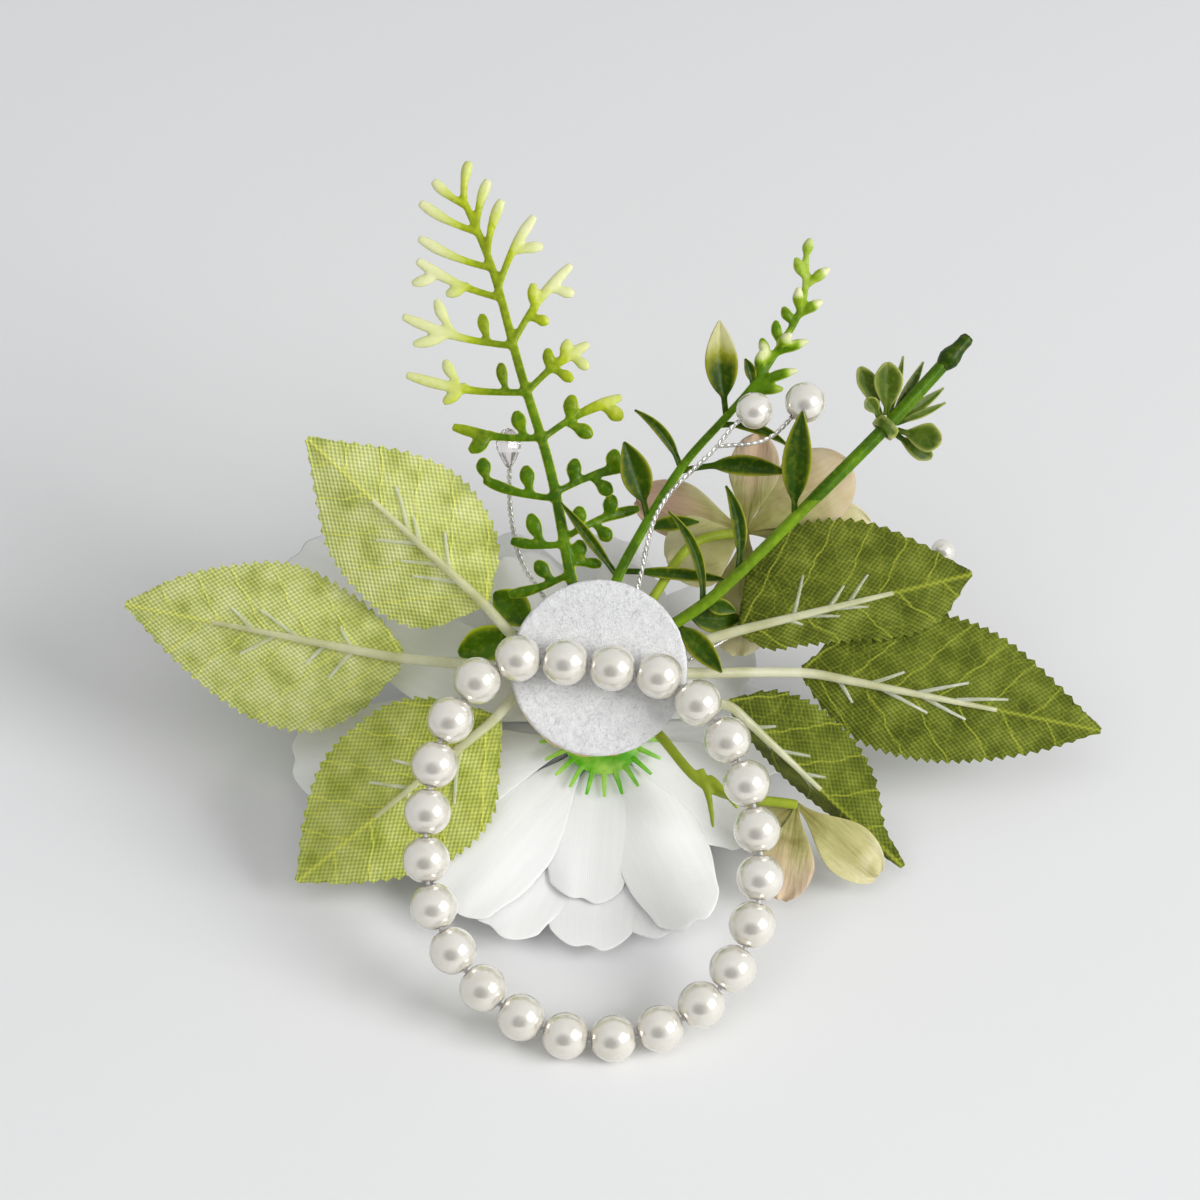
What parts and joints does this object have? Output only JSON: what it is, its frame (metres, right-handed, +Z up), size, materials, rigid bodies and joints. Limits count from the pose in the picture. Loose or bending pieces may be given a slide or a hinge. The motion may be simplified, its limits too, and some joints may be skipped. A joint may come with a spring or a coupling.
{
  "type": "wrist corsage",
  "caption": "Wrist corsage: elastic bracelet of imitation pearls glued to a felt pad with a white silk flower, woven leaves, fern, sprigs and pearl sprays",
  "frame": {"origin": "on the table under the middle of the corsage as it lies", "axes": "+X across the spray, +Y away from the wrist side, +Z up"},
  "size_m": [0.1706, 0.1242, 0.0939],
  "materials": {
    "pearl": "pearl lacquer over plastic",
    "elastic": "clear elastic",
    "felt": "needled felt",
    "glue": "set hot glue",
    "silk": "pressed satin cloth",
    "calyx_plastic": "moulded",
    "leaf_cloth_light": "woven, printed veins",
    "leaf_cloth_dark": "woven, printed veins",
    "rib_plastic": "translucent moulding",
    "fern_plastic": "moulded, pale tips",
    "sprig_plastic": "moulded",
    "floret_cloth": "dyed cloth",
    "wire": "twisted silver strand",
    "crystal": "clear facetted drop"
  },
  "bodies": {
    "corsage": {"pearl_02": "pearl", "pearl_03": "pearl", "felt_pad": "felt", "glue_pad": "glue", "calyx": "calyx_plastic", "petal_layer_1": "silk", "petal_layer_2": "silk", "petal_layer_3": "silk", "petal_layer_4": "silk", "flower_heart": "silk", "leaf_left_upper": "leaf_cloth_light", "leaf_stem_left_upper": "rib_plastic", "leaf_left_middle": "leaf_cloth_light", "leaf_stem_left_middle": "rib_plastic", "leaf_left_lower": "leaf_cloth_light", "leaf_stem_left_lower": "rib_plastic", "leaf_right_upper": "leaf_cloth_dark", "leaf_stem_right_upper": "rib_plastic", "leaf_right_middle": "leaf_cloth_dark", "leaf_stem_right_middle": "rib_plastic", "leaf_right_lower": "leaf_cloth_dark", "leaf_stem_right_lower": "rib_plastic", "fern_sprig": "fern_plastic", "leafy_sprig": "sprig_plastic", "capped_stem": "sprig_plastic", "stem_rosette": "sprig_plastic", "floret_upper_stem": "sprig_plastic", "floret_upper": "floret_cloth", "floret_lower_stem": "sprig_plastic", "floret_lower": "floret_cloth", "spray_wire_upper": "wire", "spray_pearl_1": "pearl", "spray_pearl_2": "pearl", "spray_wire_side": "wire", "spray_pearl_3": "pearl", "crystal_wire": "wire", "crystal_drop": "crystal"},
    "bracelet": {"elastic_cord": "elastic"},
    "bead_01": {"pearl_01": "pearl"},
    "bead_04": {"pearl_04": "pearl"},
    "bead_05": {"pearl_05": "pearl"},
    "bead_06": {"pearl_06": "pearl"},
    "bead_07": {"pearl_07": "pearl"},
    "bead_08": {"pearl_08": "pearl"},
    "bead_09": {"pearl_09": "pearl"},
    "bead_10": {"pearl_10": "pearl"},
    "bead_11": {"pearl_11": "pearl"},
    "bead_12": {"pearl_12": "pearl"},
    "bead_13": {"pearl_13": "pearl"},
    "bead_14": {"pearl_14": "pearl"},
    "bead_15": {"pearl_15": "pearl"},
    "bead_16": {"pearl_16": "pearl"},
    "bead_17": {"pearl_17": "pearl"},
    "bead_18": {"pearl_18": "pearl"},
    "bead_19": {"pearl_19": "pearl"},
    "bead_20": {"pearl_20": "pearl"},
    "bead_21": {"pearl_21": "pearl"},
    "bead_22": {"pearl_22": "pearl"},
    "bead_23": {"pearl_23": "pearl"},
    "bead_24": {"pearl_24": "pearl"}
  },
  "joints": [
    {"name": "bracelet_swing", "type": "hinge", "parent": "corsage", "child": "bracelet", "pos_m": [-0.00421, -0.00982, 0.04312], "axis": [-0.9925, 0.0862, 0.0862], "range_deg": [0, 84]},
    {"name": "spin_01", "type": "hinge", "parent": "bracelet", "child": "bead_01", "pos_m": [-0.01611, -0.00905, 0.04395], "axis": [0.991, 0.1113, 0.074], "continuous": true},
    {"name": "spin_04", "type": "hinge", "parent": "bracelet", "child": "bead_04", "pos_m": [0.00761, -0.01113, 0.04187], "axis": [0.9139, -0.3078, -0.2646], "continuous": true},
    {"name": "spin_05", "type": "hinge", "parent": "bracelet", "child": "bead_05", "pos_m": [0.01414, -0.01463, 0.03893], "axis": [0.741, -0.5155, -0.4303], "continuous": true},
    {"name": "spin_06", "type": "hinge", "parent": "bracelet", "child": "bead_06", "pos_m": [0.01909, -0.01944, 0.03495], "axis": [0.4984, -0.6693, -0.551], "continuous": true},
    {"name": "spin_07", "type": "hinge", "parent": "bracelet", "child": "bead_07", "pos_m": [0.02232, -0.02508, 0.03031], "axis": [0.3033, -0.7376, -0.6032], "continuous": true},
    {"name": "spin_08", "type": "hinge", "parent": "bracelet", "child": "bead_08", "pos_m": [0.02401, -0.03113, 0.02538], "axis": [0.1303, -0.769, -0.6258], "continuous": true},
    {"name": "spin_09", "type": "hinge", "parent": "bracelet", "child": "bead_09", "pos_m": [0.02448, -0.03733, 0.02035], "axis": [-0.0314, -0.7765, -0.6293], "continuous": true},
    {"name": "spin_10", "type": "hinge", "parent": "bracelet", "child": "bead_10", "pos_m": [0.02314, -0.04344, 0.01541], "axis": [-0.29, -0.7456, -0.6], "continuous": true},
    {"name": "spin_11", "type": "hinge", "parent": "bracelet", "child": "bead_11", "pos_m": [0.01985, -0.04911, 0.01086], "axis": [-0.5467, -0.6547, -0.522], "continuous": true},
    {"name": "spin_12", "type": "hinge", "parent": "bracelet", "child": "bead_12", "pos_m": [0.01459, -0.05381, 0.00714], "axis": [-0.765, -0.5063, -0.3981], "continuous": true},
    {"name": "spin_13", "type": "hinge", "parent": "bracelet", "child": "bead_13", "pos_m": [0.00767, -0.0569, 0.00475], "axis": [-0.9417, -0.2687, -0.2025], "continuous": true},
    {"name": "spin_14", "type": "hinge", "parent": "bracelet", "child": "bead_14", "pos_m": [-0.00013, -0.05827, 0.00376], "axis": [-0.9966, -0.0716, -0.0418], "continuous": true},
    {"name": "spin_15", "type": "hinge", "parent": "bracelet", "child": "bead_15", "pos_m": [-0.00809, -0.05797, 0.00414], "axis": [-0.9777, 0.1551, 0.1419], "continuous": true},
    {"name": "spin_16", "type": "hinge", "parent": "bracelet", "child": "bead_16", "pos_m": [-0.01546, -0.05569, 0.00611], "axis": [-0.8585, 0.3913, 0.3315], "continuous": true},
    {"name": "spin_17", "type": "hinge", "parent": "bracelet", "child": "bead_17", "pos_m": [-0.02181, -0.05199, 0.00921], "axis": [-0.7209, 0.5324, 0.4436], "continuous": true},
    {"name": "spin_18", "type": "hinge", "parent": "bracelet", "child": "bead_18", "pos_m": [-0.02684, -0.04722, 0.01317], "axis": [-0.5205, 0.659, 0.543], "continuous": true},
    {"name": "spin_19", "type": "hinge", "parent": "bracelet", "child": "bead_19", "pos_m": [-0.03004, -0.04156, 0.0178], "axis": [-0.2868, 0.7417, 0.6063], "continuous": true},
    {"name": "spin_20", "type": "hinge", "parent": "bracelet", "child": "bead_20", "pos_m": [-0.03137, -0.03547, 0.02277], "axis": [-0.0456, 0.7755, 0.6297], "continuous": true},
    {"name": "spin_21", "type": "hinge", "parent": "bracelet", "child": "bead_21", "pos_m": [-0.03118, -0.02926, 0.0278], "axis": [0.0746, 0.7751, 0.6274], "continuous": true},
    {"name": "spin_22", "type": "hinge", "parent": "bracelet", "child": "bead_22", "pos_m": [-0.03004, -0.0231, 0.03278], "axis": [0.2292, 0.7578, 0.6109], "continuous": true},
    {"name": "spin_23", "type": "hinge", "parent": "bracelet", "child": "bead_23", "pos_m": [-0.0274, -0.01723, 0.0375], "axis": [0.4226, 0.7073, 0.5667], "continuous": true},
    {"name": "spin_24", "type": "hinge", "parent": "bracelet", "child": "bead_24", "pos_m": [-0.02296, -0.01206, 0.04161], "axis": [0.701, 0.5595, 0.4423], "continuous": true}
  ]
}
